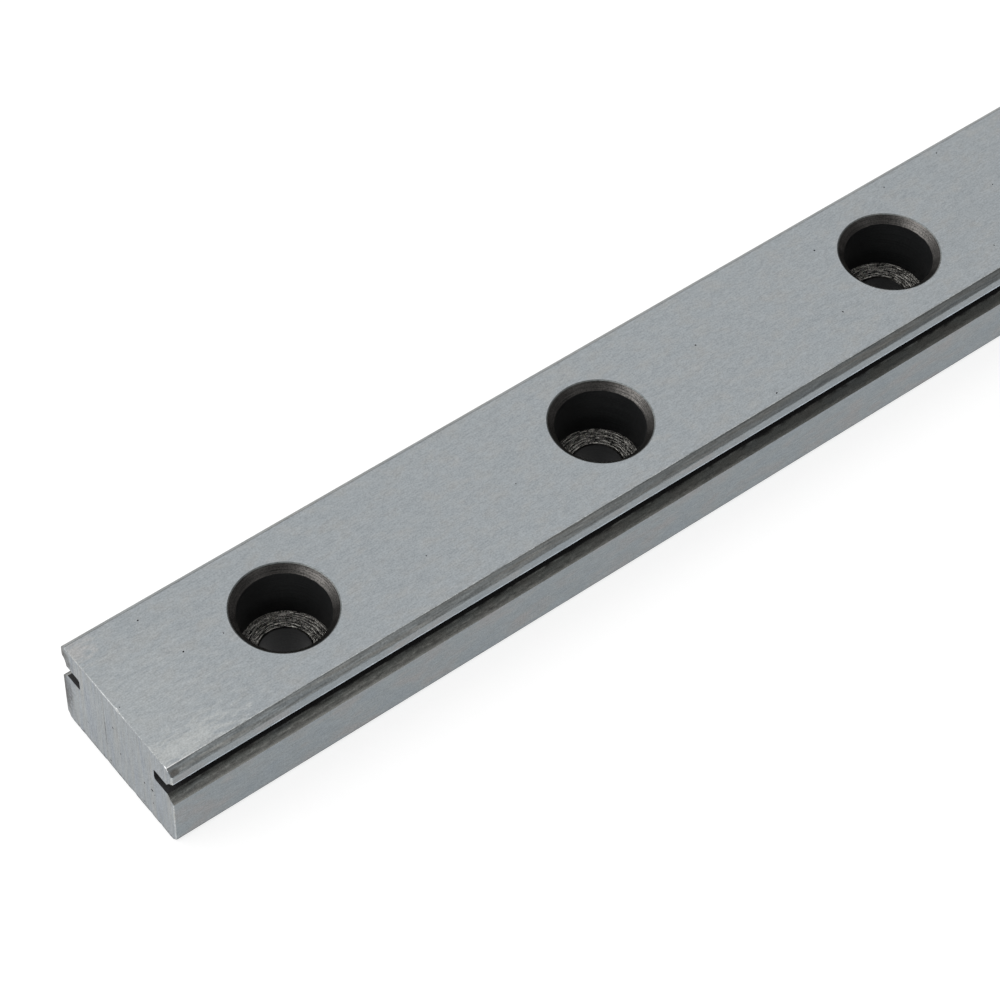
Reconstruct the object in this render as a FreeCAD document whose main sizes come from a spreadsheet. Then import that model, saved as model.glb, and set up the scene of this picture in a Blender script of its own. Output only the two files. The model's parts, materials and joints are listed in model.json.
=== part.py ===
"""Profile linear guide rail, 12 mm wide: one bar of hardened and ground steel, 300 mm long.

The rail lies along X with its mounting face down on z = 0, and its middle is at x = 0, y = 0.
Each side carries a raceway for balls: two arcs that touch the ball at a contact angle, with a
narrow relief slot between them. Counterbored screw holes stand on the centre line at a fixed pitch.
Lengths are in millimetres and angles in degrees.
"""
import FreeCAD, Part
import enum
import math
import operator
import os

import Sketcher

# Driving sizes: name, value, what it is
SIZES = (
    ("rail_length", 300.0, "overall length, one that such rail is sold in"),
    ("rail_width", 12.0, "overall width, side face to side face"),
    ("rail_height", 7.5, "overall height, mounting face to top face"),
    ("top_chamfer", 0.5, "legs of the chamfer along each top edge"),
    ("bottom_chamfer", 0.35, "legs of the chamfer along each bottom edge"),
    ("ball_diameter", 2.381, "ball that runs in the raceway"),
    ("groove_conformity", 0.52, "radius of a raceway arc over the diameter of the ball"),
    ("contact_angle", 45.0, "slope of the line from the ball's centre to each contact"),
    ("ball_stand_off", 0.5, "side face out to the ball's centre"),
    ("ball_drop", 2.33, "top face down to the ball's centre"),
    ("relief_width", 1.0, "gap between the walls of the relief slot"),
    ("relief_depth", 2.0, "side face in to the bottom of the relief slot"),
    ("relief_corner", 0.2, "radius of the two corners at the bottom of the relief slot"),
    ("hole_pitch", 25.0, "distance from one screw hole to the next"),
    ("screw_hole", 3.5, "diameter of the through hole"),
    ("counterbore", 6.0, "diameter of the seat for the screw's head"),
    ("counterbore_depth", 4.5, "top face down to the floor of the counterbore"),
    ("rim_chamfer", 0.5, "legs of the chamfer round the rim of the counterbore"),
    ("exit_break", 0.2, "legs of the edge break where a screw hole leaves the mounting face"),
    ("end_break", 0.1, "legs of the edge break round each end face"),
    ("cut_overrun", 1.0, "how far a cutting outline runs out past the surface it cuts"),
)


class Axis(enum.IntEnum):
    """Numbers by which a sketch knows its own two axes; the level one starts at its origin."""

    LEVEL = -1
    UPRIGHT = -2


class Spot(enum.IntEnum):
    """Numbers by which a sketch knows the points of a line or an arc."""

    START = 1
    END = 2
    CENTRE = 3


doc = FreeCAD.newDocument("linear_guide_rail")
sheet = doc.addObject("Spreadsheet::Sheet", "Sizes")
for row, (alias, value, meaning) in enumerate(SIZES, start=1):
    sheet.set(f"A{row}", alias)
    sheet.set(f"B{row}", str(value))
    sheet.set(f"C{row}", meaning)
    sheet.setAlias(f"B{row}", alias)
doc.recompute()


class Size:
    """A size that carries its value and its formula on the sheet's aliases together."""

    def __init__(self, value, formula):
        self.value = value
        self.formula = formula

    def combined(self, sign, action, other):
        """This size and another, or a plain number, joined by one arithmetic sign."""
        if not isinstance(other, Size):
            other = Size(other, str(other))
        return Size(action(self.value, other.value), f"({self.formula} {sign} {other.formula})")

    def __add__(self, other):
        return self.combined("+", operator.add, other)

    def __sub__(self, other):
        return self.combined("-", operator.sub, other)

    def __mul__(self, other):
        return self.combined("*", operator.mul, other)

    def __truediv__(self, other):
        return self.combined("/", operator.truediv, other)

    def __neg__(self):
        return self * -1

    def whole(self):
        """The size with its fraction cut off."""
        return Size(math.floor(self.value), f"floor({self.formula})")

    def cosine(self):
        """Cosine of the size, read as degrees."""
        return Size(math.cos(math.radians(self.value)), f"cos({self.formula} * 1deg)")

    def sine(self):
        """Sine of the size, read as degrees."""
        return Size(math.sin(math.radians(self.value)), f"sin({self.formula} * 1deg)")


def driving(alias):
    """One driving size of the sheet."""
    return Size(float(sheet.get(alias)), f"Sizes.{alias}")


def origin_feature(body, role):
    """One of the body's own origin planes or axes, found by its role."""
    return next(item for item in body.Origin.OriginFeatures if item.Role == role)


def new_sketch(body, name, plane_role):
    """Empty sketch on one of the body's origin planes."""
    sketch = body.newObject("Sketcher::SketchObject", name)
    sketch.AttachmentSupport = (origin_feature(body, plane_role), "")
    sketch.MapMode = "FlatFace"
    return sketch


def drive(sketch, kind, *places, to):
    """Adds a dimension to the sketch and ties it to the formula of a size."""
    index = sketch.addConstraint(Sketcher.Constraint(kind, *places, to.value))
    sketch.setExpression(f"Constraints[{index}]", to.formula)


def fix(sketch, kind, *places):
    """Adds a constraint that has no dimension."""
    sketch.addConstraint(Sketcher.Constraint(kind, *places))


def drive_point(sketch, line, end, across, up):
    """Places one end of a line, or an arc's centre, by its two distances from the origin."""
    for kind, to, axis in (("DistanceX", across, Axis.UPRIGHT), ("DistanceY", up, Axis.LEVEL)):
        if to is None:
            fix(sketch, "PointOnObject", line, end, axis)
        else:
            drive(sketch, kind, Axis.LEVEL, Spot.START, line, end, to=to)


def draw_outline(sketch, corners):
    """Closed outline of straight lines; a corner is (across, up), and None is on the axis."""
    points = [FreeCAD.Vector(*(0 if place is None else place.value for place in corner), 0)
              for corner in corners]
    followers = [*range(1, len(points)), 0]
    for point, follower in zip(points, followers):
        sketch.addGeometry(Part.LineSegment(point, points[follower]), False)
    for line, follower in enumerate(followers):
        fix(sketch, "Coincident", line, Spot.END, follower, Spot.START)
    for line, (across, up) in enumerate(corners):
        drive_point(sketch, line, Spot.START, across, up)


def add_bar(body):
    """Plain bar: the outside of the section drawn out to the rail's length."""
    half = driving("rail_width") / 2
    height = driving("rail_height")
    top = driving("top_chamfer")
    bottom = driving("bottom_chamfer")
    sketch = new_sketch(body, "BarSection", "YZ_Plane")
    draw_outline(sketch, (
        (-half + bottom, None),
        (half - bottom, None),
        (half, bottom),
        (half, height - top),
        (half - top, height),
        (-half + top, height),
        (-half, height - top),
        (-half, bottom),
    ))
    bar = body.newObject("PartDesign::Pad", "Bar")
    bar.Profile = sketch
    bar.SideType = "Symmetric"
    bar.setExpression("Length", "Sizes.rail_length")
    return bar


def add_raceways(body):
    """Raceway in one side, cut the whole length and mirrored to the other side.

    Each flank is an arc a little larger than the ball. Its centre lies past the ball's centre on
    the line from the contact point, so the ball touches the flank at the contact angle only.
    """
    half = driving("rail_width") / 2
    outside = half + driving("cut_overrun")
    ball_across = half + driving("ball_stand_off")
    ball_up = driving("rail_height") - driving("ball_drop")
    radius = driving("groove_conformity") * driving("ball_diameter")
    shift = radius - driving("ball_diameter") / 2
    slope = driving("contact_angle")
    centre_across = ball_across + shift * slope.cosine()
    centre_rise = shift * slope.sine()
    slot_half = driving("relief_width") / 2
    slot_bottom = half - driving("relief_depth")
    corner = driving("relief_corner")

    sketch = new_sketch(body, "RacewaySection", "YZ_Plane")

    def point(across, up):
        return FreeCAD.Vector(across, up, 0)

    def flank(side):
        """Arc of one flank, its mouth end and its slot end; side is 1 above the ball, -1 below."""
        centre = point(centre_across.value, ball_up.value - side * centre_rise.value)
        wall = ball_up.value + side * slot_half.value
        mouth_rise = math.sqrt(radius.value ** 2 - (half.value - centre.x) ** 2)
        slot_run = math.sqrt(radius.value ** 2 - (wall - centre.y) ** 2)
        mouth = point(half.value, centre.y + side * mouth_rise)
        inner = point(centre.x - slot_run, wall)
        first, last = (mouth, inner) if side > 0 else (inner, mouth)
        turn = [math.atan2(end.y - centre.y, end.x - centre.x) % math.tau for end in (first, last)]
        circle = Part.Circle(centre, FreeCAD.Vector(0, 0, 1), radius.value)
        return Part.ArcOfCircle(circle, *turn), mouth, inner

    def slot_corner(side):
        """Quarter circle in one corner at the slot's bottom."""
        wall = ball_up.value + side * slot_half.value
        centre = point(slot_bottom.value + corner.value, wall - side * corner.value)
        circle = Part.Circle(centre, FreeCAD.Vector(0, 0, 1), corner.value)
        first, last = (math.pi / 2, math.pi) if side > 0 else (math.pi, 1.5 * math.pi)
        return Part.ArcOfCircle(circle, first, last)

    upper_flank, upper_mouth, upper_inner = flank(1)
    lower_flank, lower_mouth, lower_inner = flank(-1)
    upper_corner = slot_corner(1)
    lower_corner = slot_corner(-1)
    pieces = (
        ("upper_run_out", Part.LineSegment(point(outside.value, upper_mouth.y), upper_mouth)),
        ("upper_flank", upper_flank),
        ("upper_wall", Part.LineSegment(upper_inner, upper_corner.StartPoint)),
        ("upper_corner", upper_corner),
        ("slot_floor", Part.LineSegment(upper_corner.EndPoint, lower_corner.StartPoint)),
        ("lower_corner", lower_corner),
        ("lower_wall", Part.LineSegment(lower_corner.EndPoint, lower_inner)),
        ("lower_flank", lower_flank),
        ("lower_run_out", Part.LineSegment(lower_mouth, point(outside.value, lower_mouth.y))),
        ("closing_line", Part.LineSegment(point(outside.value, lower_mouth.y),
                                          point(outside.value, upper_mouth.y))),
    )
    part = {name: sketch.addGeometry(shape, False) for name, shape in pieces}

    for name in ("upper_run_out", "lower_run_out", "upper_wall", "lower_wall"):
        fix(sketch, "Horizontal", part[name])
    for name in ("closing_line", "slot_floor"):
        fix(sketch, "Vertical", part[name])
    for first, last in (("upper_run_out", "upper_flank"), ("upper_flank", "upper_wall"),
                        ("lower_wall", "lower_flank"), ("lower_flank", "lower_run_out"),
                        ("lower_run_out", "closing_line"), ("closing_line", "upper_run_out")):
        fix(sketch, "Coincident", part[first], Spot.END, part[last], Spot.START)
    for first, last in (("upper_wall", "upper_corner"), ("upper_corner", "slot_floor"),
                        ("slot_floor", "lower_corner"), ("lower_corner", "lower_wall")):
        fix(sketch, "Tangent", part[first], Spot.END, part[last], Spot.START)

    for name, side in (("upper", 1), ("lower", -1)):
        flank_arc = part[f"{name}_flank"]
        wall_height = ball_up + slot_half * side
        mouth_end, slot_end = (Spot.START, Spot.END) if side > 0 else (Spot.END, Spot.START)
        drive_point(sketch, flank_arc, Spot.CENTRE, centre_across, ball_up - centre_rise * side)
        drive(sketch, "Radius", flank_arc, to=radius)
        drive(sketch, "DistanceX", Axis.LEVEL, Spot.START, flank_arc, mouth_end, to=half)
        drive(sketch, "DistanceY", Axis.LEVEL, Spot.START, flank_arc, slot_end, to=wall_height)
        drive(sketch, "Radius", part[f"{name}_corner"], to=corner)
    drive(sketch, "DistanceX", Axis.LEVEL, Spot.START, part["slot_floor"], Spot.START, to=slot_bottom)
    drive(sketch, "DistanceX", Axis.LEVEL, Spot.START, part["closing_line"], Spot.START, to=outside)

    raceway = body.newObject("PartDesign::Pocket", "Raceway")
    raceway.Profile = sketch
    raceway.Type = "ThroughAll"
    raceway.SideType = "Symmetric"
    doc.recompute()
    both = body.newObject("PartDesign::Mirrored", "Raceways")
    both.Originals = [raceway]
    both.MirrorPlane = (origin_feature(body, "XZ_Plane"), [""])
    body.Tip = both
    return raceway, both


def add_screw_holes(body):
    """Counterbored screw hole at the first place, repeated at the pitch along the rail.

    As many holes as the length takes at the pitch, with equal distances left at the two ends.
    """
    height = driving("rail_height")
    over = driving("cut_overrun")
    hole = driving("screw_hole") / 2
    seat = driving("counterbore") / 2
    floor = height - driving("counterbore_depth")
    rim = driving("rim_chamfer")
    lip = driving("exit_break")
    count = (driving("rail_length") / driving("hole_pitch")).whole()
    first_place = -(count - 1) * driving("hole_pitch") / 2

    sketch = new_sketch(body, "HoleSection", "XZ_Plane")
    sketch.setExpression("AttachmentOffset.Base.x", first_place.formula)
    draw_outline(sketch, (
        (None, -over),
        (hole + lip + over, -over),
        (hole, lip),
        (hole, floor),
        (seat, floor),
        (seat, height - rim),
        (seat + rim + over, height + over),
        (None, height + over),
    ))
    screw_hole = body.newObject("PartDesign::Groove", "ScrewHole")
    screw_hole.Profile = sketch
    screw_hole.ReferenceAxis = (sketch, ["V_Axis"])
    screw_hole.Angle = 360
    doc.recompute()
    row = body.newObject("PartDesign::LinearPattern", "ScrewHoles")
    row.Originals = [screw_hole]
    row.Direction = (origin_feature(body, "X_Axis"), [""])
    row.Mode = "Spacing"
    row.setExpression("Offset", "Sizes.hole_pitch")
    row.setExpression("Occurrences", count.formula)
    body.Tip = row
    return screw_hole, row


def add_end_breaks(body, base):
    """Small edge break round the outline of both end faces, but not inside the relief slots."""
    half_length = driving("rail_length") / 2
    ball_up = driving("rail_height") - driving("ball_drop")
    slot_half = driving("relief_width") / 2
    tolerance = 1e-6

    def on_end_face(edge):
        box = edge.BoundBox
        return box.XLength < tolerance and abs(abs(box.Center.x) - half_length.value) < tolerance

    def in_relief_slot(edge):
        return abs(edge.BoundBox.Center.z - ball_up.value) < slot_half.value + tolerance

    edges = [f"Edge{number}" for number, edge in enumerate(base.Shape.Edges, start=1)
             if on_end_face(edge) and not in_relief_slot(edge)]
    breaks = body.newObject("PartDesign::Chamfer", "EndBreaks")
    breaks.Base = (base, edges)
    breaks.setExpression("Size", "Sizes.end_break")
    body.Tip = breaks
    return breaks


def check_cut(before, after, name):
    """Stops the build if a cut took nothing away."""
    if not after.Shape.Volume < before.Shape.Volume:
        raise RuntimeError(f"{name} cut nothing away")


rail = doc.addObject("PartDesign::Body", "Rail")
rail.Label = "rail"
rail.Placement = FreeCAD.Placement()

bar = add_bar(rail)
doc.recompute()
raceway, raceways = add_raceways(rail)
doc.recompute()
screw_hole, screw_holes = add_screw_holes(rail)
doc.recompute()
end_breaks = add_end_breaks(rail, screw_holes)
doc.recompute()

steps = (bar, raceway, raceways, screw_hole, screw_holes, end_breaks)
for before, after in zip(steps, steps[1:]):
    check_cut(before, after, after.Label)
for item in doc.Objects:
    if "Invalid" in item.State or "Error" in item.State:
        raise RuntimeError(f"{item.Label} did not build: {item.State}")
if rail.Shape.isNull() or not rail.Shape.isValid() or len(rail.Shape.Solids) != 1:
    raise RuntimeError("the rail is not one valid solid")

os.makedirs("parts", exist_ok=True)
rail.Shape.exportStep(f"parts/{rail.Label}.step")
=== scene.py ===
"""Looks of a 12 mm profile linear guide rail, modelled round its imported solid.

The rail is one bar of hardened steel, so the scene has one piece: the bar with its raceways, the
turned surfaces of its screw holes, and one finish for each way that its faces were machined.
Lengths are in millimetres until a finished mesh is turned to metres. +X runs along the rail, +Y
across it and +Z out of its counterbored top.
"""

import json
import logging
import math
import random
from dataclasses import dataclass, field
from enum import Enum

import bmesh
import bpy
from mathutils import Matrix, Vector, noise


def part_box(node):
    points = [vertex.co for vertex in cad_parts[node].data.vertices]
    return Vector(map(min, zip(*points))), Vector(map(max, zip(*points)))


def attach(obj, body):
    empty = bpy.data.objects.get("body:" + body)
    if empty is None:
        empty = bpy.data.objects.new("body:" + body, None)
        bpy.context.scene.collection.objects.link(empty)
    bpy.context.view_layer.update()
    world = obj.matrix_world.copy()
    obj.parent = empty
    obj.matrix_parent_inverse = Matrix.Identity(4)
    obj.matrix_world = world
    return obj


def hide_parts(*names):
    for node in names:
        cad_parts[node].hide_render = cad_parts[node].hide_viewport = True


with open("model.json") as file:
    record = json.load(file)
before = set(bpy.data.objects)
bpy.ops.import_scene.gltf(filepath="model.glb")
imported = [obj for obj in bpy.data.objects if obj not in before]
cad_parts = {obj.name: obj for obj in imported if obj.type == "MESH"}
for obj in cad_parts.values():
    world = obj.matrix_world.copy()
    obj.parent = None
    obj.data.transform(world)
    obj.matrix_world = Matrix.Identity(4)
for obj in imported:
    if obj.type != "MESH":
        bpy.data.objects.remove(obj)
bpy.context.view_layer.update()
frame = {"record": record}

log = logging.getLogger("guide_rail")

MM = 0.001
NODE = "rail"
BODY = "root"
TURNED = "turned"
TOUCH = 1e-4  # Distance at which two places count as one, in millimetres
NOISE_SPAN = (0.3, 0.7)  # Levels between which nearly all of a noise lies
LINE_SPAN = (0.35, 0.65)  # Levels of the pattern in the bed and on the crest of a line
NOISE_ROUGHNESS = 0.6  # How much of each finer octave a noise keeps
PATCH_CORE = 0.1  # Share of a patch's reach that it covers whole
ALL_ALONG = 400.0  # Reach of a patch that runs along the whole rail, in millimetres
CREASE = math.radians(35.0)  # Angle from which an edge within one surface stays sharp


class Surface(Enum):
    """Surfaces of the rail that were machined in different ways, in the order of their slots."""

    TOP = "ground_top"
    SIDE = "ground_side"
    CHAMFER = "ground_chamfer"
    RACEWAY = "raceway_flank"
    RELIEF = "relief_slot"
    END = "cut_end"
    BREAK = "edge_break"
    # The edges' finish carries a painted highlight along the top edges
    EDGE = "worn_edge"
    RIM = "bore_rim"
    BORE = "bore_wall"
    SEAT = "screw_seat"

    @property
    def slot(self) -> int:
        """Place of the surface's finish among the piece's material slots."""
        return list(Surface).index(self)


class Lay(Enum):
    """Direction in which a tool left its marks: stretch of a mark along X, Y and Z."""

    ALONG = (1, 0, 0)
    UPRIGHT = (0, 0, 1)


def linear(code: str) -> tuple[float, float, float, float]:
    """Turns an sRGB hex value to a linear colour.

    Args:
        code: Six hex digits after a number sign.

    Returns:
        Red, green, blue and an alpha of one.
    """
    levels = [int(code[place:place + 2], 16) / 255 for place in (1, 3, 5)]
    channels = [level / 12.92 if level <= 0.04045 else ((level + 0.055) / 1.055) ** 2.4
                for level in levels]
    return (*channels, 1.0)


def add_node(tree: bpy.types.NodeTree, kind: str, inputs: dict | None = None,
             **settings: object) -> bpy.types.Node:
    """Adds a node, sets its properties, and fills or links its inputs.

    Args:
        tree: Node tree that gets the node.
        kind: Type of the node, without its common first part.
        inputs: Values or output sockets, by the name or number of the input they go to.
        **settings: Properties of the node.

    Returns:
        The new node.
    """
    node = tree.nodes.new("ShaderNode" + kind)
    for name, value in settings.items():
        setattr(node, name, value)
    for name, value in (inputs or {}).items():
        if isinstance(value, bpy.types.NodeSocket):
            tree.links.new(value, node.inputs[name])
        else:
            node.inputs[name].default_value = value
    return node


def new_material(name: str) -> bpy.types.Material:
    """Makes an empty node material.

    Args:
        name: Name of the material.

    Returns:
        The material, with no nodes in its tree.
    """
    material = bpy.data.materials.new(name)
    material.use_nodes = True
    material.node_tree.nodes.clear()
    return material


def pattern_space(tree: bpy.types.NodeTree, lay: Lay, length: float,
                  width: float) -> bpy.types.NodeSocket:
    """Object coordinates, stretched so that one unit is one mark of a tool.

    Args:
        tree: Node tree of the material.
        lay: Direction of the marks.
        length: Length of a mark in millimetres.
        width: Width of a mark in millimetres.

    Returns:
        Socket with the stretched coordinates.
    """
    place = add_node(tree, "TexCoord").outputs["Object"]
    sizes = [length if long else width for long in lay.value]
    return add_node(tree, "Mapping", {"Vector": place, "Scale": [1 / (size * MM) for size in sizes]}
                    ).outputs["Vector"]


def turned_space(tree: bpy.types.NodeTree, length: float, width: float) -> bpy.types.NodeSocket:
    """Coordinates round a screw hole, stretched so that one unit is one mark of a turning tool.

    Args:
        tree: Node tree of the material.
        length: Length of a mark along the tool's circle, in millimetres.
        width: Width of a mark, in millimetres.

    Returns:
        Socket with the stretched coordinates.
    """
    place = add_node(tree, "Attribute", attribute_name=TURNED).outputs["Vector"]
    return add_node(tree, "Mapping", {"Vector": place, "Scale": [1 / length, 1 / length, 1 / width]}
                    ).outputs["Vector"]


@dataclass(frozen=True)
class Patch:
    """Part of a surface with another colour and a soft, ragged edge: stains, painted highlights and
    painted shade.

    Attributes:
        colour: Colour in the middle of the patch.
        centre: Middle of the patch, in millimetres.
        reach: How far along X, Y and Z the patch fades out, in millimetres.
        share: How much of the surface it covers in its middle, from 0 to 1.
        ragged: How far its edge wanders, as a share of the reach.
        speck: Length and width of the wandering, in millimetres.
        mirrored: Whether the patch lies at both ends and on both sides.
    """

    colour: str
    centre: tuple[float, float, float]
    reach: tuple[float, float, float]
    share: float = 1.0
    ragged: float = 0.5
    speck: tuple[float, float] = (0.8, 0.3)
    mirrored: bool = False

    def laid_on(self, tree: bpy.types.NodeTree, colour: bpy.types.NodeSocket
                ) -> bpy.types.NodeSocket:
        """Lays the patch on a colour.

        Args:
            tree: Node tree of the material.
            colour: Colour under the patch.

        Returns:
            Socket with the colour and the patch.
        """
        place = add_node(tree, "TexCoord").outputs["Object"]
        if self.mirrored:
            place = add_node(tree, "VectorMath", {0: place}, operation="ABSOLUTE").outputs[0]
        local = add_node(tree, "Mapping", {
            "Vector": place, "Scale": [1 / (size * MM) for size in self.reach],
            "Location": [-middle / size for middle, size in zip(self.centre, self.reach)]})
        distance = add_node(tree, "VectorMath", {0: local.outputs[0]}, operation="LENGTH")
        specks = add_node(tree, "TexNoise", {
            "Vector": pattern_space(tree, Lay.ALONG, *self.speck), "Scale": 1.0, "Detail": 3.0})
        wander = add_node(tree, "MapRange", {
            "Value": specks.outputs["Fac"], "From Min": NOISE_SPAN[0], "From Max": NOISE_SPAN[1],
            "To Min": -self.ragged, "To Max": self.ragged}).outputs["Result"]
        edge = add_node(tree, "Math", {0: distance.outputs["Value"], 1: wander},
                        operation="ADD").outputs[0]
        cover = add_node(tree, "MapRange", {
            "Value": edge, "From Min": PATCH_CORE, "To Min": self.share, "To Max": 0.0},
            interpolation_type="SMOOTHSTEP").outputs["Result"]
        return add_node(tree, "Mix", {0: cover, 6: colour, 7: linear(self.colour)},
                        data_type="RGBA").outputs[2]


@dataclass(frozen=True)
class GroundSteel:
    """Hardened bearing steel, ground by a wheel that ran in one direction.

    The eye sees a soft grey sheen of fine short lines along the wheel's way, a matt grain between
    them, and faint clouds of a cooler and a warmer grey.

    Attributes:
        tone: Colour halfway between the crest and the bed of a line.
        cool: Colour of the cooler clouds.
        warm: Colour of the warmer clouds.
        contrast: How much a crest is lighter and a bed is darker than the tone, as a share of it.
        lay: Direction of the lines.
        line_length: Length of a line, in millimetres.
        line_width: Width of a line, in millimetres. Real lines are finer than a picture shows.
        line_height: Height of a line, in millimetres.
        grain: Width of a grain, in millimetres.
        grain_share: How much of the pattern is grain, from 0 to 1.
        cloud_length: Length of a cloud along the lines, in millimetres.
        cloud_width: Width of a cloud, in millimetres.
        cloud_share: Most that a cloud covers, from 0 to 1.
        roughness: Roughness of the shader.
        rough_spread: How much rougher the bed of a line is, and how much smoother its crest.
        grazing: Tint of what it reflects at a grazing view, where scratches dull it.
        patches: Parts of the surface with another colour: stains, painted highlights and painted
            shade.
    """

    tone: str
    cool: str
    warm: str
    contrast: float = 0.15
    lay: Lay = Lay.ALONG
    line_length: float = 1.1
    line_width: float = 0.09
    line_height: float = 0.0012
    grain: float = 0.13
    grain_share: float = 0.45
    cloud_length: float = 2.6
    cloud_width: float = 1.3
    cloud_share: float = 0.6
    roughness: float = 0.36
    rough_spread: float = 0.06
    grazing: str = "#ffffff"
    patches: tuple[Patch, ...] = ()

    def noise_at(self, tree: bpy.types.NodeTree, length: float, width: float,
                 detail: float) -> bpy.types.NodeSocket:
        """Noise with marks of a given size along the lines.

        Args:
            tree: Node tree of the material.
            length: Length of a mark, in millimetres.
            width: Width of a mark, in millimetres.
            detail: Octaves of the noise.

        Returns:
            Socket with the noise, from 0 to 1.
        """
        return add_node(tree, "TexNoise", {
            "Vector": pattern_space(tree, self.lay, length, width), "Scale": 1.0,
            "Detail": detail, "Roughness": NOISE_ROUGHNESS}).outputs["Fac"]

    def make(self, name: str) -> bpy.types.Material:
        """Builds the node material.

        Args:
            name: Name of the material.

        Returns:
            The finished material.
        """
        material = new_material(name)
        tree = material.node_tree
        lines = self.noise_at(tree, self.line_length, self.line_width, 2.0)
        grain = self.noise_at(tree, self.grain, self.grain, 1.0)
        clouds = self.noise_at(tree, self.cloud_length, self.cloud_width, 2.0)
        pattern = add_node(tree, "Mix", {0: self.grain_share, 2: lines, 3: grain},
                           data_type="FLOAT").outputs[0]
        colour = linear(self.tone)
        middle = sum(NOISE_SPAN) / 2
        for code, full in zip((self.cool, self.warm), NOISE_SPAN):
            cover = add_node(tree, "MapRange", {
                "Value": clouds, "From Min": middle, "From Max": full, "To Max": self.cloud_share}
            ).outputs["Result"]
            colour = add_node(tree, "Mix", {0: cover, 6: colour, 7: linear(code)},
                              data_type="RGBA").outputs[2]
        for patch in self.patches:
            colour = patch.laid_on(tree, colour)
        crest = add_node(tree, "MapRange", {
            "Value": pattern, "From Min": LINE_SPAN[0], "From Max": LINE_SPAN[1],
            "To Min": 1.0 - self.contrast, "To Max": 1.0 + self.contrast}).outputs["Result"]
        colour = add_node(tree, "VectorMath", {0: colour, "Scale": crest},
                          operation="SCALE").outputs[0]
        rough = add_node(tree, "MapRange", {
            "Value": pattern, "From Min": NOISE_SPAN[0], "From Max": NOISE_SPAN[1],
            "To Min": self.roughness + self.rough_spread,
            "To Max": self.roughness - self.rough_spread}).outputs["Result"]
        relief = add_node(tree, "Bump", {
            "Height": pattern, "Distance": self.line_height * MM}).outputs["Normal"]
        shader = add_node(tree, "BsdfPrincipled", {
            "Base Color": colour, "Metallic": 1.0, "Roughness": rough, "Normal": relief,
            "Specular Tint": linear(self.grazing)})
        add_node(tree, "OutputMaterial", {"Surface": shader.outputs["BSDF"]})
        return material


@dataclass(frozen=True)
class ScaledSteel:
    """Drilled or milled steel that kept the dark scale of its heat treatment.

    The eye sees a dull near-black that swallows the light, worn through to bare steel in specks.

    Attributes:
        scale: Colour of the dark scale.
        bare: Colour of the steel where the scale is worn through.
        grain: Width of a speck, in millimetres.
        mark_length: Length of a turning mark, in millimetres.
        mark_width: Width of a turning mark, in millimetres.
        mark_share: How much of the pattern is turning marks, from 0 to 1.
        relief: Height of the pattern, in millimetres.
        worn: Level of the noise above which the steel is bare, from 0 to 1.
        blend: Softness of the line between scale and bare steel.
        roughness: Roughness of the shader.
        metallic: Share of bare metal in the shader.
        gloss: Strength of the mirror reflection of the part that isn't metal.
        painted_shade_levels: How much of the bare steel shows on the lit and on the shaded side of a
            hole, as shares of what the noise gives: a painted shade.
        painted_lit_side: Place of the lit side across the rail, on the circle of the counterbore,
            in millimetres.
        painted_shade_reach: How far across the rail the painted shade fades in, in millimetres.
    """

    scale: str
    bare: str
    grain: float = 0.12
    mark_length: float = 1.5
    mark_width: float = 0.08
    mark_share: float = 0.5
    relief: float = 0.002
    worn: float = 0.5
    blend: float = 0.13
    roughness: float = 0.5
    metallic: float = 0.0
    gloss: float = 0.15
    painted_shade_levels: tuple[float, float] = (1.0, 1.0)
    painted_lit_side: float = 0.6
    painted_shade_reach: float = 2.2

    def painted_side_shade(self, tree: bpy.types.NodeTree) -> bpy.types.NodeSocket:
        """How much of the bare steel shows round a hole, less on its sides across the rail as
        painted shade.

        Args:
            tree: Node tree of the material.

        Returns:
            Socket with the share.
        """
        around = add_node(tree, "Attribute", attribute_name=TURNED).outputs["Vector"]
        across = add_node(tree, "SeparateXYZ", {0: around}).outputs["Y"]
        apart = add_node(tree, "Math", {0: across, 1: self.painted_lit_side}, operation="SUBTRACT")
        distance = add_node(tree, "Math", {0: apart.outputs[0]}, operation="ABSOLUTE").outputs[0]
        most, least = self.painted_shade_levels
        return add_node(tree, "MapRange", {
            "Value": distance, "From Max": self.painted_shade_reach, "To Min": most, "To Max": least}
        ).outputs["Result"]

    def make(self, name: str) -> bpy.types.Material:
        """Builds the node material.

        Args:
            name: Name of the material.

        Returns:
            The finished material.
        """
        material = new_material(name)
        tree = material.node_tree
        specks = add_node(tree, "TexNoise", {
            "Vector": pattern_space(tree, Lay.ALONG, self.grain, self.grain),
            "Scale": 1.0, "Detail": 2.0, "Roughness": NOISE_ROUGHNESS}).outputs["Fac"]
        marks = add_node(tree, "TexNoise", {
            "Vector": turned_space(tree, self.mark_length, self.mark_width),
            "Scale": 1.0, "Detail": 2.0, "Roughness": NOISE_ROUGHNESS}).outputs["Fac"]
        pattern = add_node(tree, "Mix", {0: self.mark_share, 2: specks, 3: marks},
                           data_type="FLOAT").outputs[0]
        thin = add_node(tree, "MapRange", {
            "Value": pattern, "From Min": self.worn - self.blend,
            "From Max": self.worn + self.blend}).outputs["Result"]
        thin = add_node(tree, "Math", {0: thin, 1: self.painted_side_shade(tree)},
                        operation="MULTIPLY").outputs[0]
        colour = add_node(tree, "Mix", {
            0: thin, 6: linear(self.scale), 7: linear(self.bare)}, data_type="RGBA").outputs[2]
        bump = add_node(tree, "Bump", {
            "Height": pattern, "Distance": self.relief * MM}).outputs["Normal"]
        shader = add_node(tree, "BsdfPrincipled", {
            "Base Color": colour, "Metallic": self.metallic, "Roughness": self.roughness,
            "Specular IOR Level": self.gloss, "Normal": bump})
        add_node(tree, "OutputMaterial", {"Surface": shader.outputs["BSDF"]})
        return material


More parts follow.
